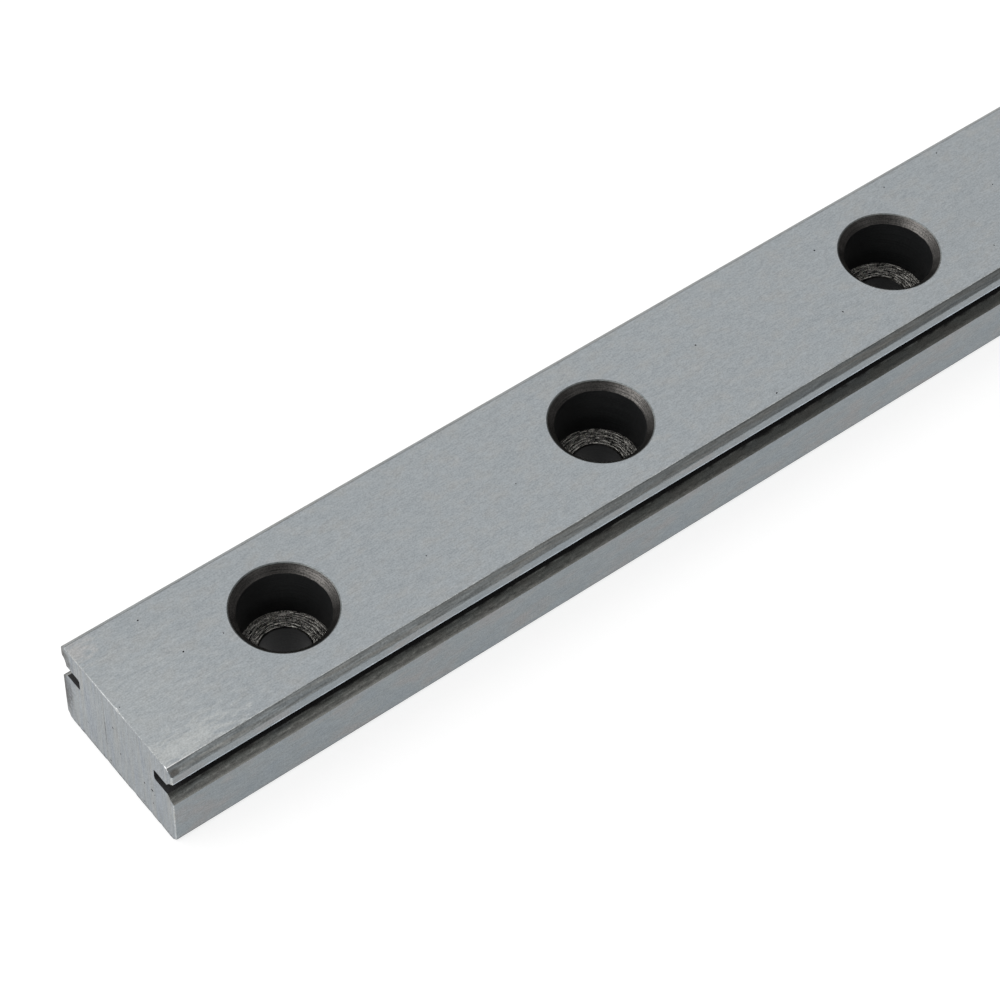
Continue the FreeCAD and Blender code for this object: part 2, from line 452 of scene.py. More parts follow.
FINISHES = {
    # Surface ground top: an even light grey with short fine lines, lighter at the near end as a
    # painted highlight
    Surface.TOP: GroundSteel(
        tone="#a0a5a8", cool="#9aa0a4", warm="#a4a5a4", contrast=0.14, line_length=0.5, grain=0.11,
        grain_share=0.55, cloud_length=1.4, cloud_width=0.9, cloud_share=0.5,
        patches=(Patch("#afb3b4", (-150.0, -2.0, 7.5), (9.0, 9.0, 9.0), share=0.5),
                 Patch("#c0c2c0", (-149.0, -4.8, 7.5), (6.0, 1.6, 9.0), share=0.5),
                 Patch("#b9b5b2", (-149.6, 4.9, 7.5), (1.6, 1.4, 9.0), share=0.5))),
    # Ground side: a cooler grey, darker than the top as painted shade, with a painted highlight
    # along the raceway's lip and painted shade along the foot
    Surface.SIDE: GroundSteel(
        tone="#888e91", cool="#838b91", warm="#8f8c8b", contrast=0.16, line_length=0.6, grain=0.12,
        grain_share=0.55,
        patches=(Patch("#c6d0da", (0.0, 6.0, 6.25), (ALL_ALONG, 9.0, 0.12), ragged=0.3,
                       speck=(1.2, 0.1), mirrored=True),
                 Patch("#505356", (0.0, 6.0, 0.3), (ALL_ALONG, 9.0, 0.2), share=0.8, ragged=0.3,
                       speck=(1.2, 0.1), mirrored=True))),
    # Ground chamfer: long streaks of two greys that run with the rail
    Surface.CHAMFER: GroundSteel(
        tone="#9da1a1", cool="#979ea2", warm="#a3a09a", contrast=0.32, line_length=1.6,
        line_width=0.11, grain=0.13, grain_share=0.35, cloud_length=7.0, cloud_width=0.3,
        roughness=0.3, grazing="#c9c9c9",
        patches=(Patch("#5f5c59", (-149.7, -5.9, 7.1), (0.6, 0.5, 0.5), share=0.8),
                 Patch("#6f7374", (0.0, 5.5, 7.5), (ALL_ALONG, 0.18, 0.18), share=0.85, ragged=0.1,
                       speck=(1.5, 0.15), mirrored=True))),
    # Form ground raceway: the smoothest face, with painted shade towards the slot, a painted
    # reflection at its lip and a brighter painted reflection near the end at -Y
    Surface.RACEWAY: GroundSteel(
        tone="#636562", cool="#606466", warm="#64625f", contrast=0.2, line_length=0.9,
        line_width=0.09, line_height=0.0004, grain_share=0.6, roughness=0.25,
        patches=(Patch("#949490", (0.0, 6.05, 4.0), (ALL_ALONG, 0.42, 90.0), share=0.65,
                       ragged=0.25, speck=(0.5, 0.1), mirrored=True),
                 Patch("#cecec9", (-150.0, -6.05, 4.0), (60.0, 0.5, 9.0), share=0.6, ragged=0.2,
                       speck=(0.5, 0.12)),
                 Patch("#141414", (0.0, 5.4, 4.7), (ALL_ALONG, 0.16, 90.0), ragged=0.2,
                       mirrored=True))),
    # Milled relief slot: unground and dull, its colour darkened to nearly black as painted shade
    Surface.RELIEF: ScaledSteel(scale="#373738", bare="#404041", mark_share=0.0, roughness=0.6),
    # Cut end: upright lines of the cut-off wheel, painted shade at the far corner, and chipped at
    # the foot, where it is darkened by painted shade
    Surface.END: GroundSteel(
        tone="#93989b", cool="#8b929b", warm="#9a9b99", contrast=0.24, lay=Lay.UPRIGHT,
        line_length=2.0, line_width=0.08, cloud_length=7.0, cloud_width=0.5, cloud_share=0.8,
        roughness=0.42,
        patches=(Patch("#2c2c2c", (-150.0, 6.1, 2.7), (2.0, 1.5, 3.2), ragged=0.2),
                 Patch("#3c3832", (-150.0, 6.1, 6.3), (2.0, 1.8, 2.0), share=0.9, ragged=0.2),
                 Patch("#5c6064", (-150.0, 1.35, 3.6), (0.6, 0.09, 3.4), share=0.9, ragged=0.3),
                 Patch("#45484a", (-150.0, 0.0, 0.0), (2.0, 40.0, 0.28), share=0.8, ragged=0.9,
                       speck=(0.25, 0.25)))),
    # Edge of the end, broken by hand: a thin bright line, with painted highlights on the top edge
    # and at the near corner
    Surface.BREAK: GroundSteel(
        tone="#acb0b1", cool="#a4a8aa", warm="#afafab", contrast=0.35, line_length=0.4,
        line_width=0.1, roughness=0.3,
        patches=(Patch("#d8dada", (-150.0, 1.1, 7.5), (1.0, 2.9, 1.0), share=0.6, ragged=0.7,
                       speck=(0.3, 0.3)),
                 Patch("#ffffff", (-150.0, -5.5, 7.5), (1.0, 0.4, 0.4), share=0.8, ragged=0.3,
                       speck=(0.3, 0.3)))),
    # Edges beside the chamfers and round the holes: grey, with a painted highlight along the top
    # edges, strongest at -Y and at the near corner
    Surface.EDGE: GroundSteel(
        tone="#7e8282", cool="#787d7f", warm="#82817e", contrast=0.3, line_length=0.4,
        line_width=0.15, roughness=0.4, grazing="#c9c9c9",
        patches=(Patch("#7c8183", (0.0, 6.0, 7.0), (ALL_ALONG, 0.4, 0.4), ragged=0.0,
                       mirrored=True),
                 Patch("#888d8f", (0.0, 5.5, 7.5), (ALL_ALONG, 0.4, 0.3), ragged=0.0,
                       mirrored=True),
                 Patch("#e2e5e5", (0.0, -5.5, 7.5), (ALL_ALONG, 0.6, 0.3), share=0.7, ragged=0.4,
                       speck=(1.5, 0.4)),
                 Patch("#ffffff", (-150.0, -5.5, 7.5), (4.5, 0.6, 0.3), ragged=0.2))),
    # Countersunk rim of a hole: scale worn to brown grey metal in turning marks, with painted shade
    # on the rim's sides across the rail
    Surface.RIM: ScaledSteel(scale="#3b3a39", bare="#7d7a77", metallic=1.0, grain=0.09,
                             mark_length=2.0, mark_width=0.07, roughness=0.35, painted_shade_levels=(1.35, 0.45)),
    # Drilled and counterbored walls: whole dark scale
    Surface.BORE: ScaledSteel(scale="#1e1f20", bare="#2d2e2f", mark_length=3.0),
    # Seat of the screw's head: dark scale broken by specks of bare steel along the turning rings,
    # lightened to near white as painted glints
    Surface.SEAT: ScaledSteel(scale="#20201f", bare="#ece9e2", metallic=0.4, grain=0.09,
                              mark_length=0.7, mark_width=0.05, mark_share=0.6, relief=0.01,
                              worn=0.535, blend=0.07),
}


class Outline:
    """Chain of edges in the plane across the rail, drawn from one vertex on."""

    def __init__(self, mesh: bmesh.types.BMesh, across: float, up: float) -> None:
        """Starts the chain at a place."""
        self.mesh = mesh
        self.tip = mesh.verts.new((0.0, across, up))

    def line_to(self, across: float, up: float) -> None:
        """Draws a straight edge to a place.

        Args:
            across: Place along Y.
            up: Place along Z.
        """
        start = self.tip
        self.tip = self.mesh.verts.new((0.0, across, up))
        self.mesh.edges.new((start, self.tip))

    def arc_about(self, across: float, up: float, turn: float, steps: int) -> None:
        """Spins the tip about a centre, which draws an arc.

        Args:
            across: Centre's place along Y.
            up: Centre's place along Z.
            turn: Angle in radians, from +Y towards +Z.
            steps: Edges in the arc.
        """
        spun = bmesh.ops.spin(self.mesh, geom=[self.tip], cent=(0.0, across, up),
                              axis=(1.0, 0.0, 0.0), angle=turn, steps=steps)
        self.tip = next(item for item in spun["geom_last"] if isinstance(item, bmesh.types.BMVert))


@dataclass
class Raceway:
    """Ball raceway in a side: two arcs that touch the ball, and the relief slot between them."""

    ball: float = 2.381
    conformity: float = 0.52
    contact_angle: float = 45.0
    ball_stand_off: float = 0.5
    ball_drop: float = 2.33
    relief_width: float = 1.0
    relief_depth: float = 2.0
    relief_corner: float = 0.2
    flank_steps: int = 10
    corner_steps: int = 4

    def draw(self, outline: Outline, half: float, height: float) -> None:
        """Adds the raceway to an outline that climbs the side at +Y.

        Args:
            outline: Outline whose tip is on the side, below the raceway.
            half: Half of the rail's width.
            height: Height of the rail.
        """
        ball_up = height - self.ball_drop
        radius = self.conformity * self.ball
        shift = radius - self.ball / 2
        slope = math.radians(self.contact_angle)
        centre = half + self.ball_stand_off + shift * math.cos(slope)
        rise = shift * math.sin(slope)
        slot_half = self.relief_width / 2
        mouth = math.acos((centre - half) / radius)
        inner = math.asin((slot_half + rise) / radius)
        turn = inner - mouth
        low, high = ball_up - slot_half, ball_up + slot_half
        bottom = half - self.relief_depth

        outline.line_to(half, ball_up + rise - radius * math.sin(mouth))
        outline.arc_about(centre, ball_up + rise, turn, self.flank_steps)
        outline.line_to(bottom + self.relief_corner, low)
        outline.arc_about(bottom + self.relief_corner, low + self.relief_corner,
                          -math.pi / 2, self.corner_steps)
        outline.line_to(bottom, high - self.relief_corner)
        outline.arc_about(bottom + self.relief_corner, high - self.relief_corner,
                          -math.pi / 2, self.corner_steps)
        outline.line_to(centre - radius * math.cos(inner), high)
        outline.arc_about(centre, ball_up - rise, turn, self.flank_steps)


@dataclass
class ScrewHole:
    """Counterbored screw hole: everything that a drill, a counterbore and a countersink leave."""

    hole: float = 1.75
    seat: float = 3.0
    seat_depth: float = 4.5
    rim: float = 0.5
    rim_edge: float = 0.05
    rim_lip: float = 0.03
    exit_break: float = 0.2
    seat_break: float = 0.08
    seat_corner: float = 0.12
    rings: int = 5
    ring_height: float = 0.06
    groove: float = 0.09
    chatter: float = 0.04
    steps: int = 112
    seed: int = 5

    # Share of a broken corner at which its bend lies
    BEND = 0.3
    # Height of the lowest ring on the seat, as a share of the highest
    LOWEST_RING = 0.6
    # Corners of a ring's crest, as shares of the pitch and of its height, and of the groove after it
    CREST = ((0.0, 0.5), (0.3, 1.0), (0.62, 0.8))
    GROOVE = (0.72, 0.9)
    # Waves of the chatter in a millimetre, coarse and fine, and what sets the fine ones apart
    WAVES = (1.7, 5.0)
    FINE_SHIFT = Vector((0.0, 0.0, 9.0))
    # Share of the coarse waves, and how much more chatter the rim has than the seat
    COARSE_SHARE = 0.5
    RIM_CHATTER = 1.4
    # How far the seat's rings stand from its floor at most, and how near its borders they go
    SEAT_RELIEF = 0.2
    SEAT_BORDER = 0.01

    def profile(self, height: float) -> list[tuple[float, float]]:
        """Half section of the hole, from the mounting face up to the top face.

        Args:
            height: Height of the rail.

        Returns:
            Corners as distance from the axis and height.
        """
        floor = height - self.seat_depth
        start = self.hole + self.seat_break
        pitch = (self.seat - self.seat_corner - start) / self.rings
        draw = random.Random(self.seed)
        corners = [(self.hole + self.exit_break, 0.0), (self.hole, self.exit_break),
                   (self.hole, floor - self.seat_break)]
        for ring in range(self.rings):
            foot = start + ring * pitch
            lift = self.ring_height * draw.uniform(self.LOWEST_RING, 1.0)
            corners += [(foot + pitch * out, floor + lift * rise) for out, rise in self.CREST]
            corners += [(foot + pitch * out, floor - self.groove) for out in self.GROOVE]
        corner = self.seat_corner
        corners += [(self.seat - corner, floor),
                    (self.seat - corner * self.BEND, floor + corner * self.BEND),
                    (self.seat, floor + corner),
                    (self.seat, height - self.rim),
                    (self.seat + self.rim - self.rim_edge, height - self.rim_edge),
                    (self.seat + self.rim + self.rim_lip, height)]
        return corners

    def surface_at(self, radius: float, up: float, height: float) -> Surface:
        """Surface that a face of the hole belongs to.

        Args:
            radius: Distance of the face's middle from the hole's axis.
            up: Height of the face's middle.
            height: Height of the rail.

        Returns:
            The surface.
        """
        floor = height - self.seat_depth
        if up > height - self.rim_edge:
            return Surface.EDGE
        if up > height - self.rim - self.chatter:
            return Surface.RIM
        if up > floor + self.seat_corner:
            return Surface.BORE
        if radius > self.hole + self.chatter:
            return Surface.SEAT
        on_break = radius > self.hole + self.seat_break * self.BEND
        return Surface.RIM if on_break else Surface.BORE

    def roughen(self, verts: list[bmesh.types.BMVert], place: float, height: float) -> None:
        """Moves the rings of the seat and the rim's lower edge a little, as a chipped tool would.

        Args:
            verts: Vertices of the hole.
            place: Place of the hole's axis along X.
            height: Height of the rail.
        """
        floor = height - self.seat_depth
        for vert in verts:
            radius = math.hypot(vert.co.x - place, vert.co.y)
            on_seat = (abs(vert.co.z - floor) < self.SEAT_RELIEF
                       and self.hole + self.SEAT_BORDER < radius < self.seat - self.SEAT_BORDER)
            on_edge = abs(vert.co.z - (height - self.rim)) < TOUCH
            if on_seat or on_edge:
                coarse = noise.noise(vert.co * self.WAVES[0])
                fine = noise.noise(vert.co * self.WAVES[1] + self.FINE_SHIFT)
                vert.co.z += (self.chatter * (self.COARSE_SHARE * coarse + fine)
                              * (self.RIM_CHATTER if on_edge else 1.0))

    def spin_at(self, mesh: bmesh.types.BMesh, place: float, height: float) -> list:
        """Spins the hole's surfaces at a place along the rail.

        Args:
            mesh: Mesh of the rail.
            place: Place of the hole's axis along X.
            height: Height of the rail.

        Returns:
            Vertices, edges and faces of the hole.
        """
        corners = [mesh.verts.new((place + radius, 0.0, up)) for radius, up in self.profile(height)]
        chain = [mesh.edges.new(pair) for pair in zip(corners, corners[1:])]
        before = set(mesh.faces)
        bmesh.ops.spin(mesh, geom=corners + chain, cent=(place, 0.0, 0.0), axis=(0.0, 0.0, 1.0),
                       angle=math.tau, steps=self.steps, use_merge=True)
        faces = list(set(mesh.faces) - before)
        for face in faces:
            middle = face.calc_center_median()
            surface = self.surface_at(math.hypot(middle.x - place, middle.y), middle.z, height)
            face.material_index = surface.slot
        verts = {vert for face in faces for vert in face.verts}
        edges = {edge for face in faces for edge in face.edges}
        return [*verts, *edges, *faces]

    def build(self, mesh: bmesh.types.BMesh, places: list[float], height: float) -> None:
        """Spins one hole, repeats it along the rail, and marks and roughens each by itself.

        Args:
            mesh: Mesh of the rail.
            places: Places of the holes' axes along X.
            height: Height of the rail.
        """
        first = self.spin_at(mesh, places[0], height)
        holes = [first] + [bmesh.ops.duplicate(mesh, geom=first)["geom"] for _ in places[1:]]
        turned = mesh.verts.layers.float_vector[TURNED]
        for hole, place in zip(holes, places):
            verts = [item for item in hole if isinstance(item, bmesh.types.BMVert)]
            bmesh.ops.translate(mesh, verts=verts, vec=(place - places[0], 0.0, 0.0))
            for vert in verts:
                out = Vector((vert.co.x - place, vert.co.y, 0.0))
                way = out.normalized() * self.seat
                vert[turned] = (way.x, way.y, out.length + vert.co.z + place)
            self.roughen(verts, place, height)


@dataclass(frozen=True)
class Pit:
    """Small pit in a ground face, with a ragged rim and one deepest point.

    Attributes:
        across: Place along the face's first direction, in millimetres.
        up: Place along the face's second direction, in millimetres.
        width: Width of the pit.
        corners: Corners of its rim.
        ragged: Least and most reach of a corner, as shares of half the width.
        depth: Depth of its deepest point, as a share of the width.
    """

    across: float
    up: float
    width: float = 0.14
    corners: int = 7
    ragged: tuple[float, float] = (0.7, 1.2)
    depth: float = 0.5


@dataclass
class FlatFace:
    """Flat face of the rail, filled round its openings and pits.

    Attributes:
        origin: Point of the face from which places on it are measured.
        first: First direction in the face.
        second: Second direction in the face.
        surface: Surface that the face belongs to.
        pits: Pits in the face.
    """

    origin: Vector
    first: Vector
    second: Vector
    surface: Surface
    pits: list[Pit]

    @property
    def inward(self) -> Vector:
        """Direction into the steel."""
        normal = self.first.cross(self.second)
        return normal if self.origin.dot(normal) < TOUCH else -normal

    def rim_of(self, pit: Pit, draw: random.Random) -> list[Vector]:
        """Ragged rim of a pit.

        Args:
            pit: The pit.
            draw: Source of the small differences.

        Returns:
            Corners of the rim.
        """
        corners = []
        for step in range(pit.corners):
            turn = math.tau * step / pit.corners
            radius = pit.width / 2 * draw.uniform(*pit.ragged)
            corners.append(self.origin + self.first * (pit.across + radius * math.cos(turn))
                           + self.second * (pit.up + radius * math.sin(turn)))
        return corners

    def sink(self, mesh: bmesh.types.BMesh, pit: Pit, draw: random.Random
             ) -> list[bmesh.types.BMEdge]:
        """Sinks a pit into the steel.

        Args:
            mesh: Mesh of the rail.
            pit: The pit.
            draw: Source of the small differences.

        Returns:
            Edges of its rim.
        """
        ring = [mesh.verts.new(corner) for corner in self.rim_of(pit, draw)]
        middle = sum((vert.co for vert in ring), Vector()) / len(ring)
        deepest = mesh.verts.new(middle + self.inward * pit.width * pit.depth)
        sides = list(zip(ring, ring[1:] + ring[:1]))
        for pair in sides:
            mesh.faces.new((*pair, deepest)).material_index = Surface.BORE.slot
        return [mesh.edges.get(pair) for pair in sides]

    def holds(self, vert: bmesh.types.BMVert) -> bool:
        """Whether a vertex lies in the face."""
        return abs((vert.co - self.origin).dot(self.inward)) < TOUCH

    def open_in(self, mesh: bmesh.types.BMesh) -> None:
        """Fills the face again, cell by cell, round its openings and pits.

        Args:
            mesh: Mesh with the bar and the surfaces of its holes.
        """
        draw = random.Random(len(self.pits))
        openings = [edge for edge in mesh.edges
                    if len(edge.link_faces) == 1 and all(self.holds(vert) for vert in edge.verts)]
        for cell in [face for face in mesh.faces if all(self.holds(vert) for vert in face.verts)]:
            reach = [vert.co.dot(self.first) for vert in cell.verts]
            low, high = min(reach), max(reach)
            rim = list(cell.edges)
            rim += [edge for edge in openings if low < edge.verts[0].co.dot(self.first) < high]
            for pit in self.pits:
                if low < pit.across < high:
                    rim += self.sink(mesh, pit, draw)
            bmesh.ops.delete(mesh, geom=[cell], context="FACES_ONLY")
            for item in bmesh.ops.triangle_fill(mesh, edges=rim, use_beauty=True)["geom"]:
                if isinstance(item, bmesh.types.BMFace):
                    item.material_index = self.surface.slot


@dataclass
class EndBreak:
    """Rounded and chipped edge round an end face, broken by hand after the cut.

    Attributes:
        top: Size along the top edge.
        slot: Size along the relief slots.
        bottom: Size along the bottom edge.
        side: Size along the upright edges.
        near_side: Size along the upright edges at -Y.
        side_reach: How far a side's break reaches round the corner.
        other: Size along every other edge, as a share of the top's.
        deepest: Most that a break takes from the rail's length under the raceways.
        head_deepest: Most that it takes from the rail's length above them.
        chip: Most that a chip adds to the bottom edge, for each step of the noise.
        chip_level: Level of the noise from which the bottom edge is chipped.
        nick: Place across the rail of a nick in the top edge.
        nick_size: What the nick adds to the break.
        nick_width: Distance at which the nick has lost most of its size.
        uneven: How much the size wanders, as a share of it.
        waves: Waves of the chips and of the wandering in a millimetre.
        facets: Facets in the rounding.
        spacing: Most distance between vertices along the edge.
    """

    top: float = 0.05
    slot: float = 0.012
    bottom: float = 0.03
    side: float = 0.5
    near_side: float = 0.1
    side_reach: float = 0.65
    other: float = 0.6
    deepest: float = 0.05
    head_deepest: float = 0.12
    chip: float = 0.4
    chip_level: float = 0.12
    nick: float = -0.23
    nick_size: float = 0.12
    nick_width: float = 0.18
    uneven: float = 0.35
    waves: tuple[float, float] = (1.7, 4.0)
    facets: int = 4
    spacing: float = 0.22

    def size_at(self, place: Vector, half: float, height: float,
                slot: tuple[float, float]) -> float:
        """Size of the break at a place on the outline.

        Args:
            place: Place on the outline.
            half: Half of the rail's width.
            height: Height of the rail.
            slot: Heights of the relief slot's walls.

        Returns:
            The size in millimetres.
        """
        coarse, fine = (noise.noise(Vector((place.x, place.y * wave, place.z * wave)))
                        for wave in self.waves)
        if slot[0] - TOUCH <= place.z <= slot[1] + TOUCH:
            return self.slot
        outward = min(max((abs(place.y) - half + self.side_reach) / self.side_reach, 0.0), 1.0)
        outward *= outward * (3.0 - 2.0 * outward)
        side = self.near_side if place.y < 0.0 else self.side
        if place.z < TOUCH:
            size = self.bottom + self.chip * max(0.0, coarse - self.chip_level)
        elif place.z > height - TOUCH:
            apart = (place.y - self.nick) / self.nick_width
            size = self.top + self.nick_size * math.exp(-apart ** 2)
        else:
            size = self.top * self.other
        return (size + (side - size) * outward) * (1.0 + self.uneven * fine)

    def insets_of(self, end: bmesh.types.BMFace) -> list[Vector]:
        """Way from each corner of an end face to the same corner of its outline, one unit in.

        Args:
            end: The end face.

        Returns:
            One vector for each corner.
        """
        corners = [vert.co for vert in end.verts]
        ways = [(after - here).normalized()
                for here, after in zip(corners, corners[1:] + corners[:1])]
        insets = []
        for before, after in zip(ways[-1:] + ways[:-1], ways):
            first, second = end.normal.cross(before), end.normal.cross(after)
            insets.append((first + second) / (1.0 + first.dot(second)))
        return insets

    def cut(self, mesh: bmesh.types.BMesh, end: bmesh.types.BMFace, half: float, height: float,
            slot: tuple[float, float]) -> None:
        """Breaks the edge round one end face.

        Args:
            mesh: Mesh of the bar.
            end: The end face.
            half: Half of the rail's width.
            height: Height of the rail.
            slot: Heights of the relief slot's walls.
        """
        for edge in list(end.edges):
            cuts = math.ceil(edge.calc_length() / self.spacing) - 1
            if cuts > 0:
                bmesh.ops.bisect_edges(mesh, edges=[edge], cuts=cuts)
        outward = end.normal.copy()
        insets = self.insets_of(end)
        chains = [[vert] for vert in end.verts]
        rim = list(end.edges)
        bmesh.ops.delete(mesh, geom=[end], context="FACES_ONLY")
        for _ in range(self.facets):
            drawn = bmesh.ops.extrude_edge_only(mesh, edges=rim)["geom"]
            fresh = {item for item in drawn if isinstance(item, bmesh.types.BMVert)}
            rim = [item for item in drawn
                   if isinstance(item, bmesh.types.BMEdge) and fresh.issuperset(item.verts)]
            for chain in chains:
                chain.append(next(edge.other_vert(chain[-1]) for edge in chain[-1].link_edges
                                  if edge.other_vert(chain[-1]) in fresh))
        for chain, inset in zip(chains, insets):
            foot = chain[0].co.copy()
            size = self.size_at(foot, half, height, slot)
            depth = min(size, self.head_deepest if foot.z > slot[1] else self.deepest)
            for place, vert in enumerate(chain):
                turn = math.pi / 2 * place / self.facets
                vert.co = (foot + inset * size * (1.0 - math.cos(turn))
                           - outward * depth * (1.0 - math.sin(turn)))
        bmesh.ops.contextual_create(mesh, geom=rim)


@dataclass
class Bar:
    """The bar: its outline with a raceway in each side, drawn out to the rail's length."""

    length: float
    width: float
    height: float
    top_chamfer: float = 0.5
    bottom_chamfer: float = 0.35
    edge_width: float = 0.03
    end_break: EndBreak = field(default_factory=EndBreak)
    raceway: Raceway = field(default_factory=Raceway)

    # Parts of a face's normal: along X at an end, out of a break there, and up on a level face
    END_LEAN = 0.02
    BREAK_LEAN = 0.05
    LEVEL = 0.999
    CHAMFER_SPREAD = 0.1
    # Sizes of the top break within which a face belongs to it, and width of the far corner that
    # keeps the end's finish with its painted shade
    BREAK_REACH = 4
    PAINTED_SHADE_CORNER = 0.6
    # Depth at which the raceway's flanks end and the relief slot starts
    FLANK_DEPTH = 0.7

    def draw_section(self, mesh: bmesh.types.BMesh) -> bmesh.types.BMFace:
        """Draws the section at the near end.

        Args:
            mesh: Empty mesh.

        Returns:
            The section as one face.
        """
        half = self.width / 2
        slope = self.edge_width / math.sqrt(2)
        shoulder = self.height - self.top_chamfer
        inner = half - self.top_chamfer
        outline = Outline(mesh, 0.0, 0.0)
        outline.line_to(half - self.bottom_chamfer, 0.0)
        outline.line_to(half, self.bottom_chamfer)
        self.raceway.draw(outline, half, self.height)
        outline.line_to(half, shoulder - self.edge_width)
        outline.line_to(half - slope, shoulder + slope)
        outline.line_to(inner + slope, self.height - slope)
        outline.line_to(inner - self.edge_width, self.height)
        outline.line_to(0.0, self.height)
        bmesh.ops.mirror(mesh, geom=mesh.verts[:] + mesh.edges[:], axis="Y", merge_dist=TOUCH)
        face = bmesh.ops.contextual_create(mesh, geom=mesh.edges[:])["faces"][0]
        middle = [vert for vert in mesh.verts if abs(vert.co.y) < TOUCH]
        bmesh.ops.dissolve_verts(mesh, verts=middle)
        return mesh.faces[0] if not face.is_valid else face

    def surface_of(self, face: bmesh.types.BMFace) -> Surface:
        """Surface that a face of the bar belongs to.

        Args:
            face: Face of the bar, before the screw holes are in.

        Returns:
            The surface.
        """
        middle, normal, half = face.calc_center_median(), face.normal, self.width / 2
        across = abs(middle.y)
        if abs(normal.x) > self.END_LEAN:
            on_top = (middle.z > self.height - self.end_break.top * self.BREAK_REACH
                      and normal.z > self.BREAK_LEAN and middle.y < half - self.PAINTED_SHADE_CORNER)
            on_near_side = (middle.y < self.end_break.near_side - half
                            and normal.y < -self.BREAK_LEAN)
            return Surface.BREAK if on_top or on_near_side else Surface.END
        if abs(normal.z) > self.LEVEL and min(middle.z, self.height - middle.z) < TOUCH:
            return Surface.TOP
        if across > half - TOUCH:
            return Surface.SIDE
        if middle.z > self.height - self.top_chamfer - self.edge_width:
            is_chamfer = abs(normal.z - math.sqrt(0.5)) < self.CHAMFER_SPREAD
            return Surface.CHAMFER if is_chamfer else Surface.EDGE
        if middle.z < self.bottom_chamfer:
            return Surface.CHAMFER
        return Surface.RACEWAY if across > half - self.FLANK_DEPTH else Surface.RELIEF

    def build(self, mesh: bmesh.types.BMesh, cell_edges: list[float]) -> None:
        """Draws the section out to the rail's length and breaks the edges of its ends.

        Args:
            mesh: Empty mesh that becomes the bar.
            cell_edges: Places along X at which the long faces are divided, between the holes.
        """
        section = self.draw_section(mesh)
        bmesh.ops.translate(mesh, verts=mesh.verts[:], vec=(-self.length / 2, 0.0, 0.0))
        drawn = bmesh.ops.extrude_face_region(mesh, geom=[section], use_keep_orig=True)
        far = [item for item in drawn["geom"] if isinstance(item, bmesh.types.BMVert)]
        bmesh.ops.translate(mesh, verts=far, vec=(self.length, 0.0, 0.0))
        bmesh.ops.recalc_face_normals(mesh, faces=mesh.faces[:])
        ball_up = self.height - self.raceway.ball_drop
        slot = (ball_up - self.raceway.relief_width / 2, ball_up + self.raceway.relief_width / 2)
        for end in [face for face in mesh.faces if abs(face.normal.x) > 0.9]:
            self.end_break.cut(mesh, end, self.width / 2, self.height, slot)
        for place in cell_edges:
            bmesh.ops.bisect_plane(mesh, geom=mesh.verts[:] + mesh.edges[:] + mesh.faces[:],
                                   plane_co=(place, 0.0, 0.0), plane_no=(1.0, 0.0, 0.0))
        bmesh.ops.recalc_face_normals(mesh, faces=mesh.faces[:])
        for face in mesh.faces:
            face.material_index = self.surface_of(face).slot


